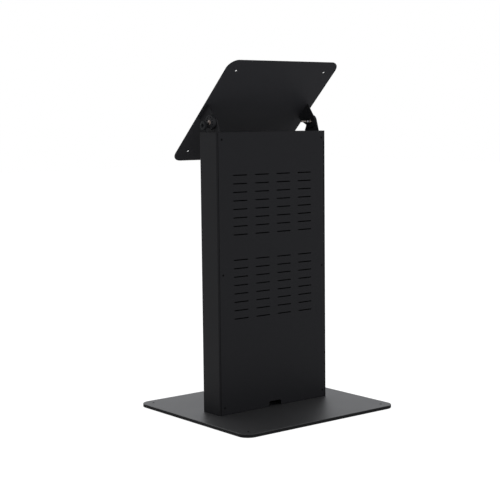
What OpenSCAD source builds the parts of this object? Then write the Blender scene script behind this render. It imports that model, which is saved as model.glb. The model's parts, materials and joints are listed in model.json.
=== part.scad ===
// Floor stand for a large flat screen: a heavy base plate, a vented cabinet column
// and a square screen plate that tilts on two hinge ears at the column's top.
// Millimetres. X runs across the stand, +Y points to its rear and +Z up.
// The origin is on the floor, under the middle of the base plate.

/* [Base plate] */
// Width of the base plate
base_w = 695; // [620:5:900]
// Depth of the base plate from front to rear
base_d = 640; // [400:10:800]
// Thickness of the base plate
base_t = 12; // [8:1:20]
// Radius of the base plate's corners
base_corner_r = 40; // [10:5:60]
// Chamfer along the base plate's top and bottom edges
base_chamfer = 1; // [0.5:0.5:2]
// Diameter of the floor fixing holes
floor_hole_d = 9; // [6:0.5:14]
// Distance of each floor fixing hole from the two nearest edges
floor_hole_inset = 38.5; // [25:0.5:60]
// Diameter of the rubber pads under the base plate
pad_d = 40; // [25:5:60]
// Depth of the pocket that holds each pad
pad_pocket = 2; // [1:0.5:3]
// Height by which the pads stand proud of the base plate
pad_proud = 1; // [0.5:0.5:3]
// Distance of the pads' centres from the base plate's edges
pad_inset = 90; // [75:5:120]

/* [Column] */
// Width of the column
column_w = 500; // [440:10:520]
// Depth of the column from front to rear
column_d = 97; // [84:1:120]
// Height of the column above the base plate
column_h = 995; // [960:5:1200]
// Thickness of the column's sheet steel
sheet_t = 2; // [1.5:0.5:2.5]
// Inner radius of the column's long bends
bend_in_r = 1; // [0.5:0.5:2]
// Width of the rear strip that frames the cover on each side
rear_strip = 5.5; // [5:0.5:8]
// Width of the flange behind the cover's edges
cover_flange = 32; // [28:1:36]
// Width of the flange that carries the top cap
cap_flange = 16; // [12:1:16]
// Thickness of the foot plate inside the column
foot_t = 6; // [5:1:10]
// Distance of the foot bolts from the column's middle, across
foot_bolt_x = 190; // [150:5:200]
// Distance of the foot bolts from the column's middle, front and rear
foot_bolt_y = 22; // [18:1:26]

/* [Rear cover] */
// Thickness of the rear cover
cover_t = 2; // [2:0.5:3]
// Shadow gap round the rear cover
cover_gap = 2; // [1:0.5:3]
// Length of each vent slot
slot_l = 63.5; // [30:0.5:80]
// Height of each vent slot
slot_h = 4; // [2:0.5:8]
// Spacing of the vent slots across the cover
slot_pitch_x = 99; // [90:1:115]
// Spacing of the vent slots up the cover
slot_pitch_z = 29.8; // [15:0.1:32]
// Number of slots side by side
slot_columns = 4; // [2:1:4]
// Number of slots above each other in one group
slot_rows = 8; // [2:1:9]
// Height of the lower group's first slot above the base plate
vent_low_z = 338; // [200:2:400]
// Height of the upper group's first slot above the base plate
vent_high_z = 636; // [620:2:700]
// Distance of the cover screws from the cover's side edges, before the shift
cover_screw_edge = 12.5; // [9:0.5:14]
// Distance of the outer cover screws from the column's top and bottom
cover_screw_inset = 25.5; // [18:0.5:40]
// Sideways shift of the cover screws and the cable notch
cover_shift = -2.5; // [-4:0.5:4]
// Width of the cable notch
notch_w = 56; // [30:2:80]
// Height of the cable notch above the base plate
notch_h = 19.5; // [12:0.5:30]
// Radius of the cable notch's upper corners
notch_r = 6; // [3:1:10]

/* [Top cap] */
// Thickness of the top cap
cap_t = 2; // [2:0.5:3]
// Gap between the top cap and what it fits into
cap_gap = 0.3; // [0.2:0.1:1]
// Length of the cable opening in the top cap
outlet_l = 120; // [60:5:160]
// Width of the cable opening in the top cap
outlet_w = 36; // [20:2:40]
// Width of the grommet's rim round the opening
grommet_rim = 4; // [2:0.5:6]
// Thickness of the grommet's wall and rims
grommet_t = 1.5; // [1:0.25:2]

/* [Hinge] */
// Height of the pivot line above the column's top
pivot_height = 34; // [33:1:60]
// Place of the pivot line from the column's middle, front to rear
pivot_y = 2.5; // [-6:0.5:6]
// Gap between the column's ears and its side walls
ear_inset = 17; // [17:1:24]
// Thickness of the column's ears
ear_t = 4; // [3:0.5:5]
// Radius of the column ears' rounded tops
ear_tip_r = 24; // [23:0.5:30]
// Gap between the column ears' feet and the flanges behind the cover
ear_clear = 7; // [1:0.5:8]
// Length of the column brackets below the column's top
bracket_h = 180; // [150:10:260]
// Width of the flange that fixes each column bracket
bracket_flange = 40; // [32:1:50]
// Number of studs that hold each column bracket
stud_count = 3; // [2:1:4]
// Thread size of the bracket studs
stud_d = 8; // [6:1:10]
// Thread size of the two pivot bolts
pivot_d = 6; // [5:1:8]
// Diameter of the pivot bolts' domed heads
pivot_head_d = 16.5; // [14:0.5:18]
// Thickness of the friction washers between the ears
friction_t = 1; // [0.5:0.5:2]
// Free length of the left pivot bolt's shank
pivot_left_l = 30; // [30:1:45]
// Free length of the right pivot bolt's shank
pivot_right_l = 55; // [50:1:70]
// Gap between the two nuts on the right pivot bolt
nut_gap = 7; // [2:1:12]
// Radial clearance of round pieces that turn
turn_fit = 0.05; // [0.02:0.01:0.08]

/* [Screen plate] */
// Distance by which the screen plate stands out beyond the column's sides
plate_over = 0; // [-10:5:60]
// Height of the screen plate along its own face
plate_h = 500; // [480:10:600]
// Thickness of the screen plate
plate_t = 2.5; // [2:0.5:4]
// Radius of the screen plate's corners
plate_corner_r = 40; // [10:5:60]
// Spacing of the screen's fixing holes in both directions
screen_pitch = 400; // [200:100:400]
// Diameter of the screen's fixing holes
screen_hole_d = 8; // [6:0.5:12]
// Tilt of the screen plate from upright
plate_tilt = 46.2; // [10:0.1:90]
// Least tilt from upright that the arc slot allows
tilt_min = 10; // [10:5:30]
// Greatest tilt from upright that the arc slot allows
tilt_max = 90; // [70:5:90]
// Distance of the screen plate's rear face from the pivot line
plate_offset = 58.5; // [56:0.5:80]
// Height of the pivot line above the screen plate's middle
plate_drop = 9.5; // [0:0.5:20]
// Thickness of the screen plate's ears
head_ear_t = 4; // [3:0.5:5]
// Reach of the ears' root above the pivot line, along the screen plate
head_ear_up = 31; // [28:1:34]
// Reach of the ears' root below the pivot line, along the screen plate
head_ear_down = 39; // [32:1:40]
// Length of the straight stretch at the ears' lower root
head_ear_root = 16; // [10:1:20]
// Radius of the ears' rounded ends
head_ear_r = 23; // [22:0.5:26]
// Length of each tab that holds an ear in the screen plate
tab_l = 16; // [10:1:20]

/* [Clamp] */
// Diameter of the hole disc on the left ear
disc_d = 50; // [46:1:54]
// Thickness of the hole disc
disc_t = 9; // [6:0.5:12]
// Number of holes round the disc
disc_holes = 12; // [6:2:12]
// Radius of the circle that the disc's holes lie on
disc_hole_r = 18.5; // [18:0.5:19]
// Turn of the disc's holes from straight below the pivot towards the screen plate
disc_turn = 7.5; // [0:0.5:15]
// Thread size of the clamping knob's stud
clamp_d = 5; // [4:0.5:5]
// Gap round the stud in the disc, the ear and the arc slot
clamp_gap = 0.25; // [0.2:0.05:0.4]
// Diameter of the clamping knob
knob_d = 30; // [26:1:34]
// Thickness of the clamping knob
knob_t = 10; // [8:1:14]
// Diameter of the hub behind the knob
knob_hub_d = 14; // [12:1:15]
// Length of the hub behind the knob
knob_hub_l = 8.5; // [8:0.5:12]
// Diameter of the recess in the knob's face
knob_recess_d = 14; // [8:1:16]

/* [Hidden] */
$fn = 64;

// Metric fasteners, and the radial clearances of their holes
m4 = 4;
m4_csk_d = 8;
m4_csk_h = 2;
m4_socket = 2.5;
m4_socket_h = 1.2;
m4_nut_d = 8.6;
m4_nut_h = 3;
m4_len = 10;
foot_bolt_d = 10;
foot_bolt_l = 16;
hex_ratio = 1.6;
head_ratio = 0.64;
nut_ratio = 0.84;
washer_t = 2;
washer_ratio = 2;
pivot_washer_t = 1.6;
lock_nut_ratio = 1;
head_rim = 0.6;
thread_fit = 0.05;
screw_fit = 0.1;
bolt_fit = 0.5;
washer_fit = 0.25;
screw_sink = 0.1;

// Overshoot of a cutting shape past the face that it opens
cut = 1;

// Heights
base_top = pad_proud + base_t;
column_top = base_top + column_h;
pivot_z = column_top + pivot_height;
cap_under = column_top - cap_t;
foot_top = base_top + foot_t;

// Column section
half_w = column_w/2;
half_d = column_d/2;
wall_x = half_w - sheet_t;
bend_r = bend_in_r + sheet_t;
front_in = -half_d + sheet_t;
cover_in = half_d - cover_t;
flange_in = cover_in - sheet_t;
strip_x = half_w - rear_strip;
cover_half = strip_x - cover_gap;
cover_foot_gap = 1;
cover_bottom = base_top + cover_foot_gap;
notch_room = 7;
ear_slot_gap = 0.5;
rim_gap = 6;
ear_half = flange_in - ear_clear;
ear_x = wall_x - ear_inset - ear_t;
web_rear = half_d - m4_len - ear_clear;
web_step = column_top - cover_screw_inset + m4_csk_d;
shoulder = column_top - 2*cap_flange;

// Bracket studs
stud_l = 18;
stud_gap = 0.5;
stud_x = ear_x - bracket_flange/2;
stud_nut_af = stud_d*hex_ratio;
stud_nut_h = stud_d*nut_ratio;
bracket_bottom = column_top - bracket_h;
stud_edge = 26;
stud_low = bracket_bottom + stud_edge;
stud_step = (shoulder - stud_low - stud_edge)/(stud_count - 1);

// Hinge stack, outwards on the left and inwards on the right
left_ear_in = ear_x + ear_t + friction_t;
left_ear_out = left_ear_in + head_ear_t;
disc_out = left_ear_out + disc_t;
right_ear_out = -ear_x + friction_t;
right_ear_in = right_ear_out + head_ear_t;
pivot_af = pivot_d*hex_ratio;
pivot_head_h = pivot_d*head_ratio;
pivot_nut_h = pivot_d*lock_nut_ratio;
right_nut = right_ear_in + pivot_washer_t;
friction_rim = 2;

// Clamp, measured along X on the left side
clamp_seat = 0.3;
knob_back = disc_out + clamp_seat;
knob_edge_r = 2;
knob_recess_h = 6;
knob_bury = 3;
clamp_washer_t = 1.5;
clamp_washer_d = 14;
clamp_washer_x = ear_x - clamp_seat - clamp_washer_t;
clamp_nut_h = 4;
clamp_nut_x = clamp_washer_x - clamp_nut_h;
clamp_tip = 3;
clamp_end = clamp_nut_x - clamp_tip;

// Screen plate, as wide as the column, with the tabs of its ears
plate_w = column_w + 2*plate_over;
plate_chamfer = 0.5;
tab_gap = 0.15;
tab_inset = 6;
tab_heights = [tab_inset + tab_l/2 - head_ear_down, head_ear_up - tab_inset - tab_l/2];

// Depth by which a smooth join of a straight side and a round overlaps
blend_in = 0.005;

// Point just inside a circle of radius rim about the origin where the line from p runs into it
function touch(p, rim, side) =
    let (r = rim - blend_in, turn = atan2(p[1], p[0]) + side*acos(r/norm(p)))
    [r*cos(turn), r*sin(turn)];

// Rounded rectangle centred on the origin
module rounded_rect(w, d, r) {
    square([w - 2*r, d], center = true);
    square([w, d - 2*r], center = true);
    for (x = [-1, 1], y = [-1, 1])
        translate([x*(w/2 - r), y*(d/2 - r)])
            circle(r);
}

// Slot with round ends, lying along the first axis
module obround(l, h) {
    square([l - h, h], center = true);
    for (s = [-1, 1])
        translate([s*(l - h)/2, 0])
            circle(h/2);
}

// Outline of a bar with its four long edges chamfered
module chamfered_bar(w, t, c) {
    polygon([[-w/2, c], [-w/2 + c, 0], [w/2 - c, 0], [w/2, c],
        [w/2, t - c], [w/2 - c, t], [-w/2 + c, t], [-w/2, t - c]]);
}

// Plate with rounded corners and chamfered edges, lying on the plane z = 0
module chamfered_plate(w, d, t, r, c) {
    along_x(-w/2 + r, w - 2*r)
        chamfered_bar(d, t, c);
    along_y(-d/2 + r, d - 2*r)
        chamfered_bar(w, t, c);
    for (x = [-1, 1], y = [-1, 1])
        translate([x*(w/2 - r), y*(d/2 - r), 0]) {
            cylinder(h = c, r1 = r - c, r2 = r);
            translate([0, 0, c])
                cylinder(h = t - 2*c, r = r);
            translate([0, 0, t - c])
                cylinder(h = c, r1 = r, r2 = r - c);
        }
}

// Extrudes an outline drawn in Y and Z along X, from x0 on
module along_x(x0, length) {
    translate([x0, 0, 0])
        rotate([90, 0, 90])
            linear_extrude(length)
                children();
}

// Extrudes an outline drawn in X and Z along Y, from y0 on
module along_y(y0, length) {
    translate([0, y0 + length, 0])
        rotate([90, 0, 0])
            linear_extrude(length)
                children();
}

// Round bar along X from x0 to x1
module bar_x(d, x0, x1) {
    translate([x0, 0, 0])
        rotate([0, 90, 0])
            cylinder(h = x1 - x0, d = d);
}

// Round bar along Y from y0 to y1
module bar_y(d, y0, y1) {
    translate([0, y1, 0])
        rotate([90, 0, 0])
            cylinder(h = y1 - y0, d = d);
}

// Hexagon along X from x0 to x1, af wide over its flats
module hex_x(af, x0, x1) {
    translate([x0, 0, 0])
        rotate([0, 90, 0])
            cylinder(h = x1 - x0, d = af/cos(30), $fn = 6);
}

module at_pivot() {
    translate([0, pivot_y, pivot_z])
        children();
}

// The tilting head's own frame: pivot line on X, screen plate upright in front of it
module in_head() {
    at_pivot()
        rotate([-plate_tilt, 0, 0])
            children();
}

// The clamping stud's axis, in the disc's hole nearest to straight below the pivot
module at_clamp() {
    in_head()
        rotate([-disc_turn, 0, 0])
            translate([0, 0, -disc_hole_r])
                children();
}

module pad_places() {
    for (x = [-1, 1], y = [-1, 0, 1])
        translate([x*(base_w/2 - pad_inset), y*(base_d/2 - pad_inset), 0])
            children();
}

module floor_hole_places() {
    for (x = [-1, 1], y = [-1, 1])
        translate([x*(base_w/2 - floor_hole_inset), y*(base_d/2 - floor_hole_inset), 0])
            children();
}

module foot_bolt_places() {
    for (x = [-1, 1], y = [-1, 1])
        translate([x*foot_bolt_x, y*foot_bolt_y, 0])
            children();
}

module cover_screw_places() {
    heights = [base_top + cover_screw_inset, base_top + column_h/2, column_top - cover_screw_inset];
    for (x = [-1, 1], z = heights)
        translate([x*(cover_half - cover_screw_edge) + cover_shift, 0, z])
            children();
}

module cap_screw_places() {
    for (s = [-1, 1]) {
        translate([s*(wall_x - cap_flange/2), 0, 0])
            children();
        translate([s*half_w/2, front_in + cap_flange/2, 0])
            children();
    }
}

module stud_places() {
    for (s = [-1, 1], i = [0:stud_count - 1])
        translate([s*stud_x, 0, stud_low + i*stud_step])
            children();
}

module base_plate() {
    color("#2b2c2e")
        difference() {
            translate([0, 0, pad_proud])
                chamfered_plate(base_w, base_d, base_t, base_corner_r, base_chamfer);
            floor_hole_places()
                cylinder(h = base_top + cut, d = floor_hole_d);
            foot_bolt_places()
                cylinder(h = base_top + cut, d = foot_bolt_d + 2*thread_fit);
            pad_places()
                cylinder(h = pad_proud + pad_pocket, d = pad_d + 2*cap_gap);
        }
}

module base_pads() {
    color("#1a1a1a")
        pad_places()
            cylinder(h = pad_proud + pad_pocket, d = pad_d);
}

// Section of the folded column: front, sides, rear strips and the flanges behind the cover
module column_section() {
    difference() {
        rounded_rect(column_w, column_d, bend_r);
        rounded_rect(column_w - 2*sheet_t, column_d - 2*sheet_t, bend_in_r);
        translate([0, half_d])
            square([2*strip_x, 4*sheet_t], center = true);
    }
    for (s = [-1, 1]) {
        translate([s*(strip_x + sheet_t/2), (flange_in + half_d)/2])
            square([sheet_t, half_d - flange_in], center = true);
        translate([s*(strip_x + sheet_t - cover_flange/2), flange_in + sheet_t/2])
            square([cover_flange, sheet_t], center = true);
    }
}

// Folded rims that the top cap rests on: one along the front and one along each side
module cap_rims() {
    translate([0, front_in + cap_flange/2, cap_under - sheet_t/2])
        cube([2*(ear_x - rim_gap), cap_flange, sheet_t], center = true);
    for (s = [-1, 1])
        translate([s*(wall_x - cap_flange/2), 0, cap_under - sheet_t/2])
            cube([cap_flange, 2*ear_half, sheet_t], center = true);
}

module column_shell() {
    color("#29292b")
        difference() {
            union() {
                translate([0, 0, base_top])
                    linear_extrude(column_h)
                        column_section();
                cap_rims();
            }
            translate([-strip_x - sheet_t, 0, cap_under])
                cube([2*(strip_x + sheet_t), cover_in, cap_t + cut]);
            cover_screw_places()
                bar_y(m4 + 2*screw_fit, flange_in - cut, half_d + cut);
            translate([0, 0, cap_under - 2*sheet_t])
                cap_screw_places()
                    cylinder(h = 2*sheet_t, d = m4 + 2*screw_fit);
        }
}

module foot_plate() {
    color("#3a3a3c")
        difference() {
            translate([0, (front_in + flange_in)/2, base_top])
                linear_extrude(foot_t)
                    rounded_rect(2*wall_x, flange_in - front_in, bend_in_r);
            foot_bolt_places()
                cylinder(h = foot_top + cut, d = foot_bolt_d + 2*bolt_fit);
            translate([cover_shift, flange_in, foot_top])
                cube([notch_w + 2*notch_room, 2*foot_bolt_y, 3*foot_t], center = true);
        }
}

module foot_bolts() {
    color("#b9b9ba")
        foot_bolt_places()
            translate([0, 0, foot_top + washer_t]) {
                cylinder(h = foot_bolt_d*head_ratio, d = foot_bolt_d*hex_ratio/cos(30), $fn = 6);
                translate([0, 0, -foot_bolt_l])
                    cylinder(h = foot_bolt_l, d = foot_bolt_d);
            }
}

module foot_washers() {
    color("#c4c4c6")
        foot_bolt_places()
            translate([0, 0, foot_top])
                difference() {
                    cylinder(h = washer_t, d = foot_bolt_d*washer_ratio);
                    cylinder(h = 3*washer_t, d = foot_bolt_d + 2*washer_fit, center = true);
                }
}

// Vent slots in two groups, drawn in X and Z
module vent_slots() {
    for (low = [vent_low_z, vent_high_z], i = [0:slot_columns - 1], j = [0:slot_rows - 1])
        translate([(i - (slot_columns - 1)/2)*slot_pitch_x, base_top + low + j*slot_pitch_z])
            obround(slot_l, slot_h);
}

module rear_cover() {
    notch_top = base_top + notch_h;
    color("#262628")
        difference() {
            along_y(cover_in, cover_t)
                difference() {
                    translate([-cover_half, cover_bottom])
                        square([2*cover_half, column_top - cover_bottom]);
                    vent_slots();
                    translate([cover_shift, notch_top - notch_h])
                        rounded_rect(notch_w, 2*notch_h, notch_r);
                }
            cover_screw_places() {
                bar_y(m4 + 2*screw_fit, cover_in - cut, half_d + cut);
                translate([0, half_d, 0])
                    rotate([-90, 0, 0])
                        csk_seat();
            }
        }
}

// Seat for a countersunk screw in a face at z = 0, run on a little past the face
module csk_seat() {
    steps = [0, screw_fit];
    for (z = steps)
        translate([0, 0, z - m4_csk_h])
            cylinder(h = m4_csk_h, d1 = m4 + 2*screw_fit, d2 = m4_csk_d + 2*screw_fit);
}

// Countersunk screw along Z: its flat head is at z = 0 and its point below
module csk_screw(length) {
    difference() {
        union() {
            translate([0, 0, -m4_csk_h])
                cylinder(h = m4_csk_h, d1 = m4, d2 = m4_csk_d);
            translate([0, 0, -length])
                cylinder(h = length - m4_csk_h, d = m4);
        }
        translate([0, 0, -m4_socket_h])
            cylinder(h = 2*m4_socket_h, d = m4_socket/cos(30), $fn = 6);
    }
}

module cover_screws() {
    color("#101010")
        cover_screw_places()
            translate([0, half_d - screw_sink, 0])
                rotate([-90, 0, 0])
                    csk_screw(m4_len);
}

module clinch_nuts() {
    color("#a8a8aa")
        cover_screw_places()
            difference() {
                bar_y(m4_nut_d, flange_in - m4_nut_h, flange_in);
                bar_y(m4 + 2*thread_fit, flange_in - 2*m4_nut_h, flange_in + cut);
            }
}

module top_cap() {
    depth = cover_in - front_in - 2*cap_gap;
    color("#252527")
        difference() {
            translate([0, (front_in + cover_in)/2, cap_under])
                linear_extrude(cap_t)
                    rounded_rect(2*(wall_x - cap_gap), depth, bend_in_r);
            for (s = [-1, 1])
                translate([s*(ear_x + ear_t/2), 0, column_top])
                    cube([ear_t + 2*ear_slot_gap, 2*ear_half + 2*ear_slot_gap, 3*cap_t], center = true);
            translate([0, 0, cap_under - cut])
                linear_extrude(cap_t + 2*cut)
                    obround(outlet_l, outlet_w);
            cap_screw_places() {
                translate([0, 0, cap_under - cut])
                    cylinder(h = cap_t + 2*cut, d = m4 + 2*screw_fit);
                translate([0, 0, column_top])
                    csk_seat();
            }
        }
}

module cap_screws() {
    color("#101010")
        cap_screw_places()
            translate([0, 0, column_top - screw_sink])
                csk_screw(m4_len);
}

// Rubber ring with a rim above and below the cap
module cable_grommet() {
    neck_l = outlet_l - 2*cap_gap;
    neck_w = outlet_w - 2*cap_gap;
    color("#161616")
        difference() {
            union() {
                translate([0, 0, cap_under - grommet_t])
                    linear_extrude(cap_t + 2*grommet_t)
                        obround(neck_l, neck_w);
                for (z = [cap_under - grommet_t, column_top])
                    translate([0, 0, z])
                        linear_extrude(grommet_t)
                            obround(outlet_l + 2*grommet_rim, outlet_w + 2*grommet_rim);
            }
            translate([0, 0, cap_under - 2*grommet_t])
                linear_extrude(cap_t + 4*grommet_t)
                    obround(neck_l - 2*grommet_t, neck_w - 2*grommet_t);
        }
}

// Outline of a column bracket in Y and Z: the ear above the cap, the web inside the column
module bracket_outline() {
    foot_rear = [ear_half - pivot_y, -pivot_height];
    foot_front = [-ear_half - pivot_y, -pivot_height];
    translate([pivot_y, pivot_z]) {
        circle(ear_tip_r);
        polygon([foot_front, foot_rear, touch(foot_rear, ear_tip_r, 1), touch(foot_front, ear_tip_r, -1)]);
    }
    polygon([[front_in, bracket_bottom], [front_in + bracket_flange, bracket_bottom],
        [web_rear, bracket_bottom + bracket_h/2], [web_rear, web_step],
        [ear_half, web_step + ear_half - web_rear], [ear_half, column_top],
        [-ear_half, column_top], [-ear_half, shoulder], [front_in, shoulder]]);
}

// Arc slot round the pivot that the clamping stud travels in
module arc_slot() {
    from = 270 - tilt_max - disc_turn;
    to = 270 - tilt_min - disc_turn;
    width = clamp_d + 2*clamp_gap;
    reach = 2*disc_hole_r;
    mid = (from + to)/2;
    intersection() {
        difference() {
            circle(disc_hole_r + width/2);
            circle(disc_hole_r - width/2);
        }
        polygon([[0, 0], reach*[cos(from), sin(from)], reach*[cos(mid), sin(mid)],
            reach*[cos(to), sin(to)]]);
    }
    for (turn = [from, to])
        rotate(turn)
            translate([disc_hole_r, 0])
                circle(width/2 + blend_in);
}

// Left bracket, or with right = true its mirror image; only the left has the arc slot
module column_bracket(right) {
    difference() {
        mirror([right ? 1 : 0, 0, 0])
            union() {
                along_x(ear_x, ear_t)
                    bracket_outline();
                translate([ear_x - bracket_flange, front_in, bracket_bottom])
                    cube([bracket_flange, ear_t, shoulder - bracket_bottom]);
            }
        at_pivot()
            bar_x(pivot_d + 2*turn_fit, -column_w, column_w);
        stud_places()
            bar_y(stud_d + 2*stud_gap, front_in - cut, front_in + ear_t + cut);
        if (!right)
            translate([0, pivot_y, pivot_z])
                along_x(ear_x - cut, ear_t + 2*cut)
                    arc_slot();
    }
}

module column_bracket_left() {
    color("#232325")
        column_bracket(false);
}

module column_bracket_right() {
    color("#232325")
        column_bracket(true);
}

module bracket_studs() {
    color("#9c9c9e")
        stud_places()
            bar_y(stud_d, front_in, front_in + stud_l);
}

module bracket_nuts() {
    seat = front_in + ear_t;
    color("#b9b9ba")
        stud_places()
            difference() {
                translate([0, seat + stud_nut_h, 0])
                    rotate([90, 0, 0])
                        cylinder(h = stud_nut_h, d = stud_nut_af/cos(30), $fn = 6);
                bar_y(stud_d + 2*thread_fit, seat - cut, seat + stud_nut_h + cut);
            }
}

module screen_plate() {
    color("#2a2a2c")
        in_head()
            difference() {
                translate([0, -plate_offset, -plate_drop])
                    rotate([90, 0, 0])
                        chamfered_plate(plate_w, plate_h, plate_t, plate_corner_r, plate_chamfer);
                for (x = [-1, 1], z = [-1, 1])
                    translate([x*screen_pitch/2, 0, z*screen_pitch/2 - plate_drop])
                        bar_y(screen_hole_d, -plate_offset - 2*plate_t, -plate_offset + plate_t);
                for (x = [left_ear_in, right_ear_out], z = tab_heights)
                    translate([x + head_ear_t/2, -plate_offset - plate_t/2, z])
                        cube([head_ear_t + 2*tab_gap, 2*plate_t, tab_l + 2*tab_gap], center = true);
            }
}

// Outline of a screen plate ear in Y and Z, round about the pivot
module head_ear_outline() {
    top = [-plate_offset, head_ear_up];
    knee = [-plate_offset + head_ear_root, -head_ear_down];
    circle(head_ear_r);
    polygon([top, [-plate_offset, -head_ear_down], knee, touch(knee, head_ear_r, 1), touch(top, head_ear_r, -1)]);
    for (z = tab_heights)
        translate([-plate_offset - plate_t/2, z])
            square([plate_t, tab_l], center = true);
}

module head_ear(x0) {
    in_head()
        difference() {
            along_x(x0, head_ear_t)
                head_ear_outline();
            bar_x(pivot_d + 2*turn_fit, x0 - cut, x0 + head_ear_t + cut);
        }
}

module head_ear_left() {
    color("#2f2f31")
        difference() {
            head_ear(left_ear_in);
            at_clamp()
                bar_x(clamp_d + 2*clamp_gap, left_ear_in - cut, left_ear_out + cut);
        }
}

module head_ear_right() {
    color("#2f2f31")
        head_ear(right_ear_out);
}

module hole_disc() {
    color("#333335")
        in_head()
            difference() {
                bar_x(disc_d, left_ear_out, disc_out);
                bar_x(pivot_d + 2*turn_fit, left_ear_out - cut, disc_out + cut);
                for (i = [0:disc_holes - 1])
                    rotate([i*360/disc_holes - disc_turn, 0, 0])
                        translate([0, 0, -disc_hole_r])
                            bar_x(clamp_d + 2*clamp_gap, left_ear_out - cut, disc_out + cut);
            }
}

// Domed bolt head standing on the plane z = 0, with a low straight rim
module domed_head() {
    rise = pivot_head_h - head_rim;
    ball = (pow(pivot_head_d/2, 2) + rise*rise)/(2*rise);
    rotate_extrude()
        intersection() {
            translate([0, pivot_head_h - ball])
                circle(ball);
            square([pivot_head_d/2, pivot_head_h]);
        }
}

module pivot_bolt_left() {
    color("#b9aca4")
        at_pivot() {
            translate([disc_out, 0, 0])
                rotate([0, 90, 0])
                    domed_head();
            bar_x(pivot_d, disc_out - pivot_left_l, disc_out);
        }
}

module pivot_bolt_right() {
    seat = -ear_x - ear_t;
    color("#b9aca4")
        at_pivot() {
            translate([seat, 0, 0])
                rotate([0, -90, 0])
                    domed_head();
            bar_x(pivot_d, seat, seat + pivot_right_l);
        }
}

module pivot_nut(x0) {
    difference() {
        hex_x(pivot_af, x0, x0 + pivot_nut_h);
        bar_x(pivot_d + 2*thread_fit, x0 - cut, x0 + pivot_nut_h + cut);
    }
}

// One nut on the left bolt, and two with a gap between them on the right one
module pivot_nuts() {
    color("#b9aca4")
        at_pivot()
            for (x = [ear_x - pivot_washer_t - pivot_nut_h, right_nut, right_nut + pivot_nut_h + nut_gap])
                pivot_nut(x);
}

module pivot_washer(x0, thickness, d) {
    difference() {
        bar_x(d, x0, x0 + thickness);
        bar_x(pivot_d + 2*washer_fit, x0 - cut, x0 + thickness + cut);
    }
}

module pivot_washers() {
    color("#c2b8b0")
        at_pivot()
            for (x = [ear_x - pivot_washer_t, right_ear_in])
                pivot_washer(x, pivot_washer_t, pivot_d*washer_ratio);
}

module friction_washers() {
    color("#d8d8d0")
        at_pivot()
            for (x = [ear_x + ear_t, -ear_x])
                pivot_washer(x, friction_t, pivot_d*washer_ratio + 2*friction_rim);
}

// Round knob with soft edges, a recess in its face and a narrower hub behind it
module clamp_knob() {
    color("#343638")
        at_clamp()
            translate([knob_back, 0, 0])
                rotate([0, 90, 0])
                    difference() {
                        union() {
                            cylinder(h = knob_hub_l + cut, d = knob_hub_d);
                            rotate_extrude()
                                translate([0, knob_hub_l])
                                    knob_half();
                        }
                        translate([0, 0, knob_hub_l + knob_t - knob_recess_h])
                            cylinder(h = 2*knob_recess_h, d = knob_recess_d);
                        translate([0, 0, -cut])
                            cylinder(h = knob_hub_l + knob_bury + cut, d = clamp_d + 2*thread_fit);
                    }
}

// Half outline of the knob's disc, with rounded outer edges
module knob_half() {
    square([knob_d/2 - knob_edge_r, knob_t]);
    translate([0, knob_edge_r])
        square([knob_d/2, knob_t - 2*knob_edge_r]);
    for (y = [knob_edge_r, knob_t - knob_edge_r])
        translate([knob_d/2 - knob_edge_r, y])
            circle(knob_edge_r);
}

module clamp_stud() {
    color("#b0a484")
        at_clamp()
            bar_x(clamp_d, clamp_end, knob_back + knob_hub_l + knob_bury);
}

module clamp_washer() {
    color("#cfc4a8")
        at_clamp()
            difference() {
                bar_x(clamp_washer_d, clamp_washer_x, clamp_washer_x + clamp_washer_t);
                bar_x(clamp_d + 2*clamp_gap, clamp_washer_x - cut, ear_x);
            }
}

module clamp_nut() {
    color("#b9a67c")
        at_clamp()
            difference() {
                hex_x(clamp_d*hex_ratio, clamp_nut_x, clamp_nut_x + clamp_nut_h);
                bar_x(clamp_d + 2*thread_fit, clamp_nut_x - cut, clamp_washer_x + cut);
            }
}

base_plate();
base_pads();
column_shell();
foot_plate();
foot_bolts();
foot_washers();
rear_cover();
cover_screws();
clinch_nuts();
top_cap();
cap_screws();
cable_grommet();
column_bracket_left();
column_bracket_right();
bracket_studs();
bracket_nuts();
screen_plate();
head_ear_left();
head_ear_right();
hole_disc();
pivot_bolt_left();
pivot_bolt_right();
pivot_nuts();
pivot_washers();
friction_washers();
clamp_knob();
clamp_stud();
clamp_washer();
clamp_nut();
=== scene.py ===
"""Looks of a floor stand for a large screen: powder-coated sheet steel, plated hinge
fasteners, a moulded clamp knob, rubber trim, and the studio that they are seen in."""

import json
import math

import bpy
import numpy as np
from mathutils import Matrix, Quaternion, Vector


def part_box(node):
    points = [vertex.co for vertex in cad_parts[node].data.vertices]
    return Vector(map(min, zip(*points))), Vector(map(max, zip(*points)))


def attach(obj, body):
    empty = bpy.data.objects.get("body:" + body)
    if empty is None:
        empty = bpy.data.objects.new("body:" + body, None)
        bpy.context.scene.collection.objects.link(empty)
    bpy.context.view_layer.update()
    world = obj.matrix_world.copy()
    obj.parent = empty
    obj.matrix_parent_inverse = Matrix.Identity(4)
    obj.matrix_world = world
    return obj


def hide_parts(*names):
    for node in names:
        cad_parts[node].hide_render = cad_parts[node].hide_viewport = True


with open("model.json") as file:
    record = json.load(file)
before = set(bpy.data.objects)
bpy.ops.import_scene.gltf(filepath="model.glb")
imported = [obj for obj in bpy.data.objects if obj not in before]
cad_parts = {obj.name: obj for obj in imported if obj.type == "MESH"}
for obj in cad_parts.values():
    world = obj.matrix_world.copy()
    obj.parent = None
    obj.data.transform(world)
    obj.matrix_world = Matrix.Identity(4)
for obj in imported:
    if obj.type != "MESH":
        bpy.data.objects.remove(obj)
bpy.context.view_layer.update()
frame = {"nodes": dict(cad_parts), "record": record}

MM = 0.001

SLOT_COLOUR = {m["slot"]: tuple(m["base_color"][:3]) for m in frame["record"]["materials"]}
DUST_COLOUR = (0.05, 0.05, 0.05)

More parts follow.
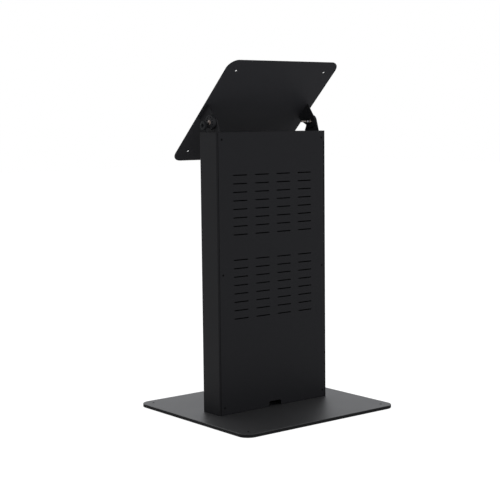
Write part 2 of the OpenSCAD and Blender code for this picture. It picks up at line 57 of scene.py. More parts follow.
# Height of each finish's texture, in millimetres
COAT_BUMP = 0.055
PLATING_BUMP = 0.008
PLASTIC_BUMP = 0.03
RUBBER_BUMP = 0.05

# How far the base's coat has flowed out to a glossy film, from 0 to 1, and how much the
# roughness of a powder coat swings with its mottle and rises where it is rubbed
FLOWED_OUT = 0.88
GLOSS_SWING = 0.025
RUB_DULLING = 0.03

# Standard fasteners, in millimetres
PITCH_M6, DEPTH_M6, SHANK_M6 = 1.0, 0.5, 3.0
PITCH_M5, DEPTH_M5, SHANK_M5 = 0.8, 0.4, 2.5
BOLT_CHAMFER, STUD_CHAMFER = 0.8, 0.6
THREAD_RUNOUT = 1.0
HEAD_HEIGHT, HEAD_RIM = 3.84, 0.6
NUT_HEIGHT, NUT_FLATS, NUT_BORE = 6.0, 9.6, 6.1
SECOND_NUT_GAP = 7.0
CLAMP_NUT_FLATS, CLAMP_NUT_BORE = 8.0, 5.1
WASHER_BORE, WASHER_THICK = 6.5, 1.6
CLAMP_WASHER_BORE, CLAMP_WASHER_THICK = 5.5, 1.5
FRICTION_THICK, FRICTION_EDGE = 1.0, 0.2
PRESSED_EDGE = 0.35

# A bolt's dome: the angle at which its last row closes, its rows, and its softened corners
CROWN_LEAN, DOME_ROWS = 0.02, 14
NECK_CORNER, RIM_CORNER, DOME_CORNER = 0.04, 0.15, 0.2

# The flat end of a thread lies this far inside its chamfer
END_STEP = 0.3

# A nut's face is this share of its width over flats, and its corners fall away at this slope
NUT_FACE_SHARE, NUT_TRIM_SLOPE = 0.97, 1.7
NUT_TRIM_DEPTHS = (0, 0.15, 0.3, 0.5, 0.8)
BORE_CHAMFER = 0.35

# Length of thread past the second nut that is painted dark as shade, and a hair's width
SHADED_THREAD_LENGTH = 4.0
HAIR = 0.1

# Clamp knob, in millimetres; its middle is the small flat face that closes the outline
HUB_RADIUS, HUB_LENGTH, KNOB_RADIUS = 7, 8.5, 15
RECESS_RADIUS, RECESS_DEPTH = 7, 6
BORE_CLEARANCE = 0.05
KNOB_MIDDLE = 0.3
KNOB_CORNERS = (0.05, 0.3, 0.6, 0.8, 1.6, 2.2, 0.7, 0.6)

# Base pads, with a middle of the same kind
PAD_RADIUS, PAD_MIDDLE = 20.0, 0.5
PAD_CORNERS = (0.4, 0.2)

# Points round a turned piece, and rows of points in one turn of a thread
ROUND, ROWS_A_TURN = 48, 8


# Node trees

def nodes_of(owner):
    """The empty node tree of a material or world, with its nodes and links."""
    owner.use_nodes = True
    tree = owner.node_tree
    tree.nodes.clear()
    return tree


def add(tree, kind, **settings):
    """A new node of a kind, with its properties set."""
    node = tree.nodes.new(kind)
    for name, value in settings.items():
        setattr(node, name, value)
    return node


def join(tree, *pairs):
    """Links each output to the input after it: join(tree, out, in, out, in)."""
    for source, target in zip(pairs[::2], pairs[1::2]):
        tree.links.new(source, target)


def math_node(tree, operation, a, b):
    """A Math node; a and b are sockets or numbers. Returns its output."""
    node = add(tree, "ShaderNodeMath", operation=operation)
    for i, value in enumerate((a, b)):
        if isinstance(value, (int, float)):
            node.inputs[i].default_value = value
        else:
            join(tree, value, node.inputs[i])
    return node.outputs[0]


def remap(tree, value, low, high, to_low, to_high):
    """Value carried from one range to another and clamped. Returns the output."""
    node = add(tree, "ShaderNodeMapRange", clamp=True)
    join(tree, value, node.inputs["Value"])
    ends = {"From Min": low, "From Max": high, "To Min": to_low, "To Max": to_high}
    for name, number in ends.items():
        node.inputs[name].default_value = number
    return node.outputs["Result"]


def noise(tree, coordinates, scale, detail, roughness):
    """Fractal noise from 0 to 1. Returns the output."""
    node = add(tree, "ShaderNodeTexNoise")
    node.inputs["Detail"].default_value = detail
    node.inputs["Roughness"].default_value = roughness
    if isinstance(scale, (int, float)):
        node.inputs["Scale"].default_value = scale
    else:
        join(tree, scale, node.inputs["Scale"])
    join(tree, coordinates, node.inputs["Vector"])
    return node.outputs["Fac"]


def blend_colours(tree, factor, a, b):
    """Colour a turning into b as factor rises from 0 to 1; a and b are sockets or colours."""
    node = add(tree, "ShaderNodeMix", data_type="RGBA")
    join(tree, factor, node.inputs["Factor"])
    for socket, value in ((node.inputs[6], a), (node.inputs[7], b)):
        if isinstance(value, tuple):
            socket.default_value = (*value, 1)
        else:
            join(tree, value, socket)
    return node.outputs[2]


def new_group(name, inputs, outputs):
    """A shader node group; inputs are (name, socket kind, start value), outputs (name, kind)."""
    group = bpy.data.node_groups.new(name, "ShaderNodeTree")
    for label, kind, value in inputs:
        socket = group.interface.new_socket(name=label, in_out="INPUT", socket_type=kind)
        socket.default_value = value
    for label, kind in outputs:
        group.interface.new_socket(name=label, in_out="OUTPUT", socket_type=kind)
    return group, add(group, "NodeGroupInput"), add(group, "NodeGroupOutput")


FLOAT, VECTOR = "NodeSocketFloat", "NodeSocketVector"


def coat_texture_group():
    """Fine-textured powder coat: orange peel and grain heights, and a slow cloudy mottle."""
    group, given, out = new_group(
        "coat_texture",
        [("Grain size mm", FLOAT, 0.8), ("Peel size mm", FLOAT, 4.0), ("Peel share", FLOAT, 0.4)],
        [("Height", FLOAT), ("Grain", FLOAT), ("Mottle", FLOAT)],
    )
    at = add(group, "ShaderNodeTexCoord").outputs["Object"]
    grain_scale = math_node(group, "DIVIDE", 1 / MM, given.outputs["Grain size mm"])
    peel_scale = math_node(group, "DIVIDE", 1 / MM, given.outputs["Peel size mm"])
    grain = noise(group, at, grain_scale, 3, 0.6)
    peel = noise(group, at, peel_scale, 1, 0.4)
    mottle = noise(group, at, 7, 4, 0.6)
    peel_part = math_node(group, "MULTIPLY", peel, given.outputs["Peel share"])
    height = math_node(group, "ADD", grain, peel_part)
    join(group, height, out.inputs["Height"], grain, out.inputs["Grain"],
         mottle, out.inputs["Mottle"])
    return group


def edge_rub_and_rim_light_group():
    """Rounded edges: the normal that turns over each edge, and a mask of where the finish is
    rubbed, which is how far that normal leans from the true one, broken up by noise. Turned up,
    as on the brackets, the mask also paints a highlight along lit rims."""
    group, given, out = new_group(
        "edge_rub_and_rim_light",
        [("Radius", FLOAT, 0.0008), ("Amount", FLOAT, 1.0), ("Patch size mm", FLOAT, 30.0)],
        [("Wear", FLOAT), ("Rounded normal", VECTOR)],
    )
    rounded = add(group, "ShaderNodeBevel", samples=4)
    join(group, given.outputs["Radius"], rounded.inputs["Radius"])
    true = add(group, "ShaderNodeNewGeometry")
    lean = add(group, "ShaderNodeVectorMath", operation="DOT_PRODUCT")
    join(group, rounded.outputs["Normal"], lean.inputs[0], true.outputs["Normal"], lean.inputs[1])
    edge = remap(group, lean.outputs["Value"], 0.99, 0.80, 0, 1)
    at = add(group, "ShaderNodeTexCoord").outputs["Object"]
    scale = math_node(group, "DIVIDE", 1 / MM, given.outputs["Patch size mm"])
    patches = remap(group, noise(group, at, scale, 5, 0.7), 0.42, 0.68, 0, 1)
    rubbed = math_node(group, "MULTIPLY", edge, patches)
    rub_and_rim_light = math_node(group, "MULTIPLY", rubbed, given.outputs["Amount"])
    join(group, rub_and_rim_light, out.inputs["Wear"],
         rounded.outputs["Normal"], out.inputs["Rounded normal"])
    return group


def dust_group():
    """Faces that look up, and the thin dust and faint rub marks on them."""
    group, given, out = new_group(
        "dust",
        [("Amount", FLOAT, 1.0)],
        [("Dust", FLOAT), ("Rub", FLOAT), ("Up", FLOAT)],
    )
    normal = add(group, "ShaderNodeNewGeometry")
    split = add(group, "ShaderNodeSeparateXYZ")
    join(group, normal.outputs["Normal"], split.inputs[0])
    up = remap(group, split.outputs["Z"], 0.35, 0.75, 0, 1)
    at = add(group, "ShaderNodeTexCoord").outputs["Object"]
    cloud = remap(group, noise(group, at, 9, 6, 0.65), 0.35, 0.75, 0, 1)
    specks = remap(group, noise(group, at, 900, 1, 0.5), 0.62, 0.78, 0, 1)
    thin = math_node(group, "ADD", math_node(group, "MULTIPLY", cloud, 0.5),
                     math_node(group, "MULTIPLY", specks, 0.5))
    settled = math_node(group, "MULTIPLY", thin, up)
    dust = math_node(group, "MULTIPLY", settled, given.outputs["Amount"])
    rub = remap(group, noise(group, at, 3, 3, 0.6), 0.40, 0.70, 0, 1)
    join(group, dust, out.inputs["Dust"], rub, out.inputs["Rub"], up, out.inputs["Up"])
    return group


COAT_TEXTURE = coat_texture_group()
EDGE_RUB_AND_RIM_LIGHT = edge_rub_and_rim_light_group()
DUST = dust_group()


def place(tree, group, **values):
    """A group placed in a material with its own values, spaces in names written as _."""
    node = add(tree, "ShaderNodeGroup", node_tree=group)
    for name, value in values.items():
        node.inputs[name.replace("_", " ")].default_value = value
    return node


def surface(name, ior, specular=0.5):
    """A new material with a Principled shader. Returns material, tree and shader."""
    material = bpy.data.materials.new(name)
    tree = nodes_of(material)
    shader = add(tree, "ShaderNodeBsdfPrincipled")
    shader.inputs["IOR"].default_value = ior
    shader.inputs["Specular IOR Level"].default_value = specular
    end = add(tree, "ShaderNodeOutputMaterial")
    join(tree, shader.outputs[0], end.inputs["Surface"])
    return material, tree, shader


def add_bump(tree, shader, height, depth_mm, rounded):
    """Feeds a height from 0 to 1 to the shader as a bump of that depth on the rounded normal."""
    bump = add(tree, "ShaderNodeBump")
    bump.inputs["Distance"].default_value = depth_mm * MM
    join(tree, height, bump.inputs["Height"], rounded, bump.inputs["Normal"],
         bump.outputs["Normal"], shader.inputs["Normal"])


def powder_coat(name, shade, roughness, shine=0.06, grain_mm=0.8, dust=0.0, rub_and_rim_light=0.2,
                edge_mm=0.5, slot=None):
    """Satin black powder coat: fine grain, cloudy mottle, edges rubbed a little lighter. With
    dust, the faces that look up carry it, and flow out to a thicker, glossier skin. The
    colour is the record's for the slot, or for the name, times shade. Where the edge lightening
    is turned up, it is partly a painted highlight along lit rims."""
    material, tree, shader = surface(name, 1.5, shine)
    colour = tuple(c * shade for c in SLOT_COLOUR[slot or name])
    texture = place(tree, COAT_TEXTURE, Grain_size_mm=grain_mm, Peel_size_mm=4.5, Peel_share=0.5)
    edges = place(tree, EDGE_RUB_AND_RIM_LIGHT, Radius=edge_mm * MM, Amount=rub_and_rim_light, Patch_size_mm=45.0)
    dark = tuple(c * 0.78 for c in colour)
    light = tuple(c * 1.22 for c in colour)
    rubbed = tuple(c * 2.5 for c in colour)
    tone = remap(tree, texture.outputs["Grain"], 0.35, 0.65, 0, 1)
    mixed = blend_colours(tree, tone, dark, light)
    mixed = blend_colours(tree, edges.outputs["Wear"], mixed, rubbed)
    gloss = remap(tree, texture.outputs["Mottle"], 0.3, 0.7,
                  roughness - GLOSS_SWING, roughness + GLOSS_SWING)
    if dust:
        film = place(tree, DUST, Amount=dust)
        mixed = blend_colours(tree, film.outputs["Dust"], mixed, DUST_COLOUR)
        rub = math_node(tree, "MULTIPLY", film.outputs["Rub"], RUB_DULLING)
        gloss = math_node(tree, "ADD", gloss, rub)
        shader.inputs["Coat Roughness"].default_value = roughness
        flowed = math_node(tree, "MULTIPLY", film.outputs["Up"], FLOWED_OUT)
        join(tree, flowed, shader.inputs["Coat Weight"])
    join(tree, mixed, shader.inputs["Base Color"], gloss, shader.inputs["Roughness"])
    add_bump(tree, shader, texture.outputs["Height"], COAT_BUMP, edges.outputs["Rounded normal"])
    return material


def plated_steel(name, colour, stain, roughness):
    """Zinc-plated steel: clouded, slightly warm metal with fine scratches and brighter edges."""
    material, tree, shader = surface(name, 1.5)
    shader.inputs["Metallic"].default_value = 1.0
    at = add(tree, "ShaderNodeTexCoord").outputs["Object"]
    cloud = remap(tree, noise(tree, at, 160, 4, 0.6), 0.35, 0.7, 0, 1)
    fine = noise(tree, at, 1800, 3, 0.7)
    edges = place(tree, EDGE_RUB_AND_RIM_LIGHT, Radius=0.25 * MM, Amount=0.8, Patch_size_mm=3.0)
    bright = tuple(min(1, c * 1.25) for c in colour)
    mixed = blend_colours(tree, cloud, colour, stain)
    mixed = blend_colours(tree, edges.outputs["Wear"], mixed, bright)
    join(tree, mixed, shader.inputs["Base Color"])
    join(tree, remap(tree, fine, 0.3, 0.7, roughness - 0.06, roughness + 0.08),
         shader.inputs["Roughness"])
    add_bump(tree, shader, fine, PLATING_BUMP, edges.outputs["Rounded normal"])
    return material


def moulded_plastic(name, shade, roughness, grain_mm, shine):
    """Moulded plastic with a spark-eroded grain."""
    material, tree, shader = surface(name, 1.46, shine)
    colour = tuple(c * shade for c in SLOT_COLOUR[name])
    texture = place(tree, COAT_TEXTURE, Grain_size_mm=grain_mm, Peel_size_mm=2.5, Peel_share=0.2)
    edges = place(tree, EDGE_RUB_AND_RIM_LIGHT, Radius=0.3 * MM, Amount=0.4, Patch_size_mm=8.0)
    tone = remap(tree, texture.outputs["Grain"], 0.3, 0.7, 0, 1)
    dark = tuple(c * 0.88 for c in colour)
    light = tuple(c * 1.12 for c in colour)
    worn = tuple(min(1, c * 1.6) for c in colour)
    mixed = blend_colours(tree, tone, dark, light)
    mixed = blend_colours(tree, edges.outputs["Wear"], mixed, worn)
    join(tree, mixed, shader.inputs["Base Color"])
    join(tree, remap(tree, texture.outputs["Mottle"], 0.3, 0.7, roughness - 0.04, roughness + 0.04),
         shader.inputs["Roughness"])
    add_bump(tree, shader, texture.outputs["Height"], PLASTIC_BUMP, edges.outputs["Rounded normal"])
    return material


def moulded_rubber(name):
    """Dull black rubber with a bloom of fine dust in its pores."""
    material, tree, shader = surface(name, 1.5, 0.15)
    colour = SLOT_COLOUR[name]
    texture = place(tree, COAT_TEXTURE, Grain_size_mm=0.5, Peel_size_mm=6.0, Peel_share=0.6)
    edges = place(tree, EDGE_RUB_AND_RIM_LIGHT, Radius=0.3 * MM, Amount=0.5, Patch_size_mm=12.0)
    tone = remap(tree, texture.outputs["Mottle"], 0.3, 0.75, 0, 1)
    mixed = blend_colours(tree, tone, colour, tuple(c * 1.7 for c in colour))
    mixed = blend_colours(tree, edges.outputs["Wear"], mixed, tuple(c * 2.4 for c in colour))
    join(tree, mixed, shader.inputs["Base Color"])
    join(tree, remap(tree, texture.outputs["Grain"], 0.3, 0.7, 0.72, 0.88),
         shader.inputs["Roughness"])
    add_bump(tree, shader, texture.outputs["Height"], RUBBER_BUMP, edges.outputs["Rounded normal"])
    return material


MATERIALS = {
    "base_coat": powder_coat("base_coat", 0.58, 0.48, shine=0.03, dust=0.05, rub_and_rim_light=0.15),
    "column_coat": powder_coat("column_coat", 0.52, 0.46),
    "cover_coat": powder_coat("cover_coat", 0.75, 0.46, rub_and_rim_light=0.12),
    "plate_coat": powder_coat("plate_coat", 1.3, 0.46, shine=0.018, rub_and_rim_light=0.1),
    # The brackets' edges are lightened strongly over a wide rounding: partly wear, and partly a
    # painted highlight along the rims of the column ears
    "bracket_coat": powder_coat("bracket_coat", 0.75, 0.44, shine=0.07, rub_and_rim_light=0.9, edge_mm=0.9),
    # The column's inside parts are painted nearly black: painted shade for the inside of the column
    # seen through its notch
    "inner_coat": powder_coat("inner_coat", 0.3, 0.6, shine=0.03),
    "black_screw": powder_coat("black_screw", 0.45, 0.55, shine=0.015, grain_mm=0.4, rub_and_rim_light=0.3,
                               edge_mm=0.2),
    "knob_plastic": moulded_plastic("knob_plastic", 0.55, 0.5, 0.5, 0.06),
    "friction_plastic": moulded_plastic("friction_plastic", 0.8, 0.4, 0.6, 0.4),
    "rubber": moulded_rubber("rubber"),
    "zinc": plated_steel("zinc", (0.40, 0.40, 0.42), (0.28, 0.28, 0.30), 0.32),
    "yellow_zinc": plated_steel("yellow_zinc", (0.40, 0.36, 0.33), (0.30, 0.26, 0.235), 0.48),
}
# A darker copy of the plate's coat for the head ears: painted shade, so their faces that sit
# between the plate and the column come out dark
EAR_PAINTED_SHADE_COAT = powder_coat("ear_coat", 0.6, 0.46, shine=0.055, rub_and_rim_light=0.2, slot="plate_coat")
DOMED_HEAD_ZINC = plated_steel(
    "domed_head_zinc", (0.15, 0.128, 0.115), (0.095, 0.076, 0.066), 0.38)
BRIGHT_NUT_ZINC = plated_steel(
    "bright_nut_zinc", (0.66, 0.575, 0.51), (0.52, 0.45, 0.40), 0.46)
# Near-black zinc that paints shade: on the right bolt's thread by its nuts, and on the right pivot
# washer
PAINTED_SHADE_ZINC = plated_steel(
    "painted_shade_zinc", (0.045, 0.042, 0.040), (0.03, 0.028, 0.027), 0.55)

for part in frame["record"]["subparts"]:
    mesh = frame["nodes"][part["node"]].data
    mesh.materials.clear()
    is_ear = part["node"].startswith("head_ear")
    mesh.materials.append(EAR_PAINTED_SHADE_COAT if is_ear else MATERIALS[part["material_slot"]])


# Turned, threaded and pressed pieces of the hinge, worked out from the boxes of the CAD nodes

def corners_mm(node):
    """Lowest and highest corners of a CAD node in millimetres."""
    low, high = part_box(node)
    return np.array(low) / MM, np.array(high) / MM


def axis_of(node):
    """Y and Z of the line along X through the middle of a CAD node."""
    low, high = corners_mm(node)
    return (low[1:] + high[1:]) / 2


def softened(corners, radii, steps=5):
    """Outline with rounded corners: corner P between A and B becomes the parabola
    (1-s)^2 (P + r a) + 2 s (1-s) P + s^2 (P + r b), a and b being the directions to A and B.
    The first and the last corner stay sharp."""
    p = np.array(corners, float)
    r = np.array(radii, float)[:, None]
    to_last, to_next = p[:-2] - p[1:-1], p[2:] - p[1:-1]
    start = p[1:-1] + r * to_last / np.linalg.norm(to_last, axis=1, keepdims=True)
    end = p[1:-1] + r * to_next / np.linalg.norm(to_next, axis=1, keepdims=True)
    s = np.linspace(0, 1, steps)[None, :, None]
    corner = p[1:-1][:, None]
    arcs = (1 - s) ** 2 * start[:, None] + 2 * s * (1 - s) * corner + s ** 2 * end[:, None]
    return np.concatenate([p[:1], arcs.reshape(-1, 2), p[-1:]])


def closed_softened(corners, radii, steps=5):
    """The same for an outline that closes on itself, so that every corner is rounded."""
    looped = [corners[-1]] + list(corners) + [corners[0]]
    return softened(looped, radii, steps)[1:-1]


def round_axis(x, r, middle, twist=0.0):
    """Points at distance r from a line along X: y = y0 + r cos a, z = z0 + r sin a, for
    station x of each row and angle a of each column; r is a column or a whole grid."""
    a = np.linspace(0, 2 * np.pi, ROUND, endpoint=False) + twist
    x = np.asarray(x, float)[:, None]
    r = np.asarray(r, float)
    r = r[:, None] if r.ndim == 1 else r
    grid = np.broadcast_arrays(x, middle[0] + r * np.cos(a), middle[1] + r * np.sin(a))
    return np.stack(grid, axis=-1)


def round_upright(z, r, middle):
    """Points at distance r from a line along Z: x = x0 + r cos a, y = y0 + r sin a."""
    a = np.linspace(0, 2 * np.pi, ROUND, endpoint=False)
    z, r = np.asarray(z, float)[:, None], np.asarray(r, float)[:, None]
    grid = np.broadcast_arrays(middle[0] + r * np.cos(a), middle[1] + r * np.sin(a), z)
    return np.stack(grid, axis=-1)


def skin(grid, ring=False):
    """Points and faces of a grid whose columns meet again. With ring its rows meet as well;
    otherwise a small flat face closes each end. All faces are turned round where the sum of
    p0 . (p1 x p2 + p2 x p3), taken from the middle, is negative, so that they face outwards."""
    rows, columns = grid.shape[:2]
    points = grid.reshape(-1, 3)
    i = np.arange(rows if ring else rows - 1)[:, None]
    j = np.arange(columns)[None, :]
    low, high = i * columns, (i + 1) % rows * columns
    after = (j + 1) % columns
    quads = np.stack([low + j, low + after, high + after, high + j], axis=-1).reshape(-1, 4)
    p = points[quads] - points.mean(axis=0)
    volume = (p[:, 0] * (np.cross(p[:, 1], p[:, 2]) + np.cross(p[:, 2], p[:, 3]))).sum()
    faces = quads.tolist()
    if not ring:
        faces += [list(range(columns))[::-1], list(range((rows - 1) * columns, rows * columns))]
    if volume < 0:
        faces = [face[::-1] for face in faces]
    return points, faces


def make_piece(name, skins, body, node, slot, crease=32):
    """A piece from one or more closed skins, in millimetres, that stands for a CAD node."""
    points = np.concatenate([skin_points for skin_points, _ in skins]) * MM
    starts = np.cumsum([0] + [len(skin_points) for skin_points, _ in skins[:-1]])
    faces = [[int(start) + k for k in face]
             for start, (_, skin_faces) in zip(starts, skins) for face in skin_faces]
    mesh = bpy.data.meshes.new(name)
    mesh.from_pydata(points.tolist(), [], faces)
    mesh.polygons.foreach_set("use_smooth", np.ones(len(faces), bool))
    mesh.set_sharp_from_angle(angle=math.radians(crease))
    mesh.materials.append(MATERIALS[slot])
    piece = bpy.data.objects.new(name, mesh)
    bpy.context.scene.collection.objects.link(piece)
    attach(piece, body)
    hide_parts(node)
    return piece


def threaded_rows(tip, end, radius, pitch, depth, chamfer):
    """Thread: r = R - d (1 - cos(2 pi x / p - a)) / 2, a crest that climbs one pitch p a turn,
    kept under the cone R - c + |x - tip| at the free end. Returns stations and radii."""
    a = np.linspace(0, 2 * np.pi, ROUND, endpoint=False)[None, :]
    x = np.linspace(tip, end, int(abs(end - tip) / pitch * ROWS_A_TURN))
    swing = (1 - np.cos(2 * np.pi * x[:, None] / pitch - a)) / 2
    cone = radius - chamfer + np.abs(x - tip)[:, None]
    return x, np.minimum(radius - depth * swing, cone)


def pivot_bolt(tip, seat, crown, radius, head_radius, middle):
    """Threaded shank from tip to seat, and a domed head from seat to crown: a straight rim,
    then the part of a sphere that passes through the rim's edge and the crown."""
    out = 1 if crown > seat else -1
    runout = seat - out * THREAD_RUNOUT
    x, r = threaded_rows(tip, runout, radius, PITCH_M6, DEPTH_M6, BOLT_CHAMFER)
    height = abs(crown - seat)
    rise = height - HEAD_RIM
    ball = (head_radius ** 2 + rise ** 2) / (2 * rise)
    lean = np.linspace(math.asin(head_radius / ball), CROWN_LEAN, DOME_ROWS)
    dome = np.stack([seat + out * (height - ball + ball * np.cos(lean)),
                     ball * np.sin(lean)], axis=1)
    under = softened(
        [(runout, radius), (seat, radius), (seat, head_radius),
         (seat + out * HEAD_RIM, head_radius), dome[1]],
        [NECK_CORNER, RIM_CORNER, DOME_CORNER])
    tail = np.concatenate([under[:-1], dome[1:]])
    end_face = np.full((1, ROUND), radius - BOLT_CHAMFER - END_STEP)
    stations = np.concatenate([x[:1], x, tail[:, 0]])
    radii = np.concatenate([end_face, r, np.repeat(tail[:, 1:], ROUND, axis=1)])
    return skin(round_axis(stations, radii, middle))


def nut(low, high, flats, bore, middle, twist=0.0):
    """Hexagon nut: the wall is flats/2 / cos(lean from the middle of its flat), trimmed at both
    ends by the cone k flats/2 + m d at depth d; the bore has a chamfer at both ends."""
    a = np.linspace(0, 2 * np.pi, ROUND, endpoint=False)
    lean = (a + np.pi / 6) % (np.pi / 3) - np.pi / 6
    wall = flats / 2 / np.cos(lean)
    depth = np.array(NUT_TRIM_DEPTHS)
    cut = np.minimum(wall[None, :], NUT_FACE_SHARE * flats / 2 + NUT_TRIM_SLOPE * depth[:, None])
    lead = np.full((1, ROUND), bore / 2 + BORE_CHAMFER)
    inside = np.full((1, ROUND), bore / 2)
    radii = np.concatenate([inside, lead, cut, cut[::-1], lead, inside])
    stations = np.concatenate([[low + BORE_CHAMFER, low], low + depth,
                               high - depth[::-1], [high, high - BORE_CHAMFER]])
    return skin(round_axis(stations, radii, middle, twist), ring=True)


def washer(low, high, outer, bore, middle, edge):
    """Flat ring whose section is a rectangle with rounded corners, turned about the axis."""
    section = closed_softened(
        [(low, bore / 2), (low, outer / 2), (high, outer / 2), (high, bore / 2)],
        [edge / 2, edge, edge, edge / 2])
    return skin(round_axis(section[:, 0], section[:, 1], middle), ring=True)


def finish_between(piece, low, high, material):
    """Gives a material to the faces of a piece whose middles lie between two stations along X,
    or a hair past them."""
    mesh = piece.data
    mesh.materials.append(material)
    middles = np.empty(len(mesh.polygons) * 3)
    finish = np.empty(len(mesh.polygons), np.int32)
    mesh.polygons.foreach_get("center", middles)
    mesh.polygons.foreach_get("material_index", finish)
    station = middles[::3] / MM
    finish[(station > low - HAIR) & (station < high + HAIR)] = len(mesh.materials) - 1
    mesh.polygons.foreach_set("material_index", finish)


def make_pivot_bolts():
    """The two bolts that the head tilts on."""
    for side, out in (("left", 1), ("right", -1)):
        node = "pivot_bolt_" + side
        low, high = corners_mm(node)
        tip, crown = (low[0], high[0]) if out > 0 else (high[0], low[0])
        head_radius = (high[1] - low[1]) / 2
        seat = crown - out * HEAD_HEIGHT
        skins = [pivot_bolt(tip, seat, crown, SHANK_M6, head_radius, axis_of(node))]
        bolt = make_piece(node + "_threaded", skins, "column", node, "yellow_zinc")
        finish_between(bolt, min(seat, crown), max(seat, crown), DOMED_HEAD_ZINC)
        if side == "right":
            outer_nut_face = corners_mm("pivot_nuts")[0][0] + NUT_HEIGHT
            second_nut = outer_nut_face + SECOND_NUT_GAP
            second_nut_face = second_nut + NUT_HEIGHT
            # Painted shade: the thread between the two nuts, and a little past the second one, gets
            # the dark zinc
            finish_between(bolt, outer_nut_face, second_nut, PAINTED_SHADE_ZINC)
            finish_between(bolt, second_nut_face, second_nut_face + SHADED_THREAD_LENGTH, PAINTED_SHADE_ZINC)


def make_pivot_nuts():
    """One nut inside the left ears, and two on the long right bolt: a bright one against its
    washer, and a neutral grey one that locks it."""
    low, high = corners_mm("pivot_nuts")
    middle = axis_of("pivot_nuts")
    left, outer, second = high[0] - NUT_HEIGHT, low[0], low[0] + NUT_HEIGHT + SECOND_NUT_GAP
    skins = [nut(x, x + NUT_HEIGHT, NUT_FLATS, NUT_BORE, middle) for x in (left, outer, second)]
    nuts = make_piece("pivot_nuts_hexagon", skins, "column", "pivot_nuts", "yellow_zinc")
    finish_between(nuts, second, second + NUT_HEIGHT, MATERIALS["zinc"])
    finish_between(nuts, outer, outer + NUT_HEIGHT, BRIGHT_NUT_ZINC)


def make_washers(node, body, slot, thick, bore, edge):
    """The washers of a node that lie at its two ends along X, or the only one."""
    low, high = corners_mm(node)
    middle = axis_of(node)
    outer = high[1] - low[1]
    starts = [low[0]] if high[0] - low[0] < 2 * thick else [low[0], high[0] - thick]
    skins = [washer(x, x + thick, outer, bore, middle, edge) for x in starts]
    return make_piece(node + "_pressed", skins, body, node, slot)


def make_pivot_washers():
    """The washers under the pivot nuts; the right one is painted dark, as painted shade next to the
    ear.
    """
    washers = make_washers("pivot_washers", "column", "yellow_zinc", WASHER_THICK,
                           WASHER_BORE, PRESSED_EDGE)
    right_end = corners_mm("pivot_washers")[0][0]
    finish_between(washers, right_end, right_end + WASHER_THICK, PAINTED_SHADE_ZINC)


def make_clamp_stud():
    """Threaded stud that the knob turns, with a flat face at both ends."""
    low, high = corners_mm("clamp_stud")
    face = np.full((1, ROUND), SHANK_M5 - STUD_CHAMFER - END_STEP)
    x, r = threaded_rows(low[0], high[0] - HAIR, SHANK_M5, PITCH_M5, DEPTH_M5, STUD_CHAMFER)
    stations = np.concatenate([x[:1], x, high[:1]])
    grid = round_axis(stations, np.concatenate([face, r, face]), axis_of("clamp_stud"))
    make_piece("clamp_stud_threaded", [skin(grid)], "knob", "clamp_stud", "zinc")


def make_clamp_knob():
    """Knob turned from one outline: the stud's blind hole, a hub, the rim and a round recess
    in its face."""
    stud_end = corners_mm("clamp_stud")[1][0]
    back, face = (c[0] for c in corners_mm("clamp_knob"))
    shoulder = back + HUB_LENGTH
    hole_end = stud_end + BORE_CLEARANCE
    bore = SHANK_M5 + BORE_CLEARANCE
    floor = face - RECESS_DEPTH
    outline = softened(
        [(hole_end, KNOB_MIDDLE), (hole_end, bore), (back, bore), (back, HUB_RADIUS),
         (shoulder, HUB_RADIUS), (shoulder, KNOB_RADIUS), (face, KNOB_RADIUS),
         (face, RECESS_RADIUS), (floor, RECESS_RADIUS), (floor, KNOB_MIDDLE)],
        KNOB_CORNERS)
    grid = round_axis(outline[:, 0], outline[:, 1], axis_of("clamp_stud"))
    make_piece("clamp_knob_moulded", [skin(grid)], "knob", "clamp_knob", "knob_plastic", crease=50)


def make_clamp_nut():
    """Nut behind the arc slot, one corner towards the pivot, and its washer."""
    low, high = corners_mm("clamp_nut")
    away = axis_of("clamp_nut") - axis_of("hole_disc")
    twist = math.atan2(away[1], away[0]) + math.pi / 2
    skins = [nut(low[0], high[0], CLAMP_NUT_FLATS, CLAMP_NUT_BORE, axis_of("clamp_stud"), twist)]
    make_piece("clamp_nut_hexagon", skins, "head", "clamp_nut", "yellow_zinc")
    make_washers("clamp_washer", "head", "yellow_zinc", CLAMP_WASHER_THICK,
                 CLAMP_WASHER_BORE, PRESSED_EDGE)


def make_grommet():
    """Rubber trim of the cable outlet: a C-shaped section carried round an obround, the two
    half circles of radius r about x = +-h joined by straight runs."""
    low, high = corners_mm("cable_grommet")
    middle = (low + high) / 2
    bottom, top = low[2], high[2]
    rim, neck, lip = 5.8, 1.5, 1.5
    corners = [0.5, 0.6, 0.5, 0.1, 0.1, 0.4, 0.9, 0.9]
    half_hole = (high[1] - low[1]) / 2 - rim
    straight = (high[0] - low[0]) / 2 - rim - half_hole
    section = closed_softened(
        [(0, bottom), (rim, bottom), (rim, bottom + lip), (neck, bottom + lip),
         (neck, top - lip), (rim, top - lip), (rim, top), (0, top)],
        corners)
    half_turn = np.linspace(-np.pi / 2, np.pi / 2, ROUND // 2)
    a = np.concatenate([half_turn, half_turn + np.pi])
    shift = np.repeat([straight, -straight], ROUND // 2)
    r = half_hole + section[:, :1]
    grid = np.broadcast_arrays(
        middle[0] + shift + r * np.cos(a), middle[1] + r * np.sin(a), section[:, 1:])
    make_piece("cable_grommet_moulded", [skin(np.stack(grid, axis=-1), ring=True)],
               "column", "cable_grommet", "rubber", crease=50)


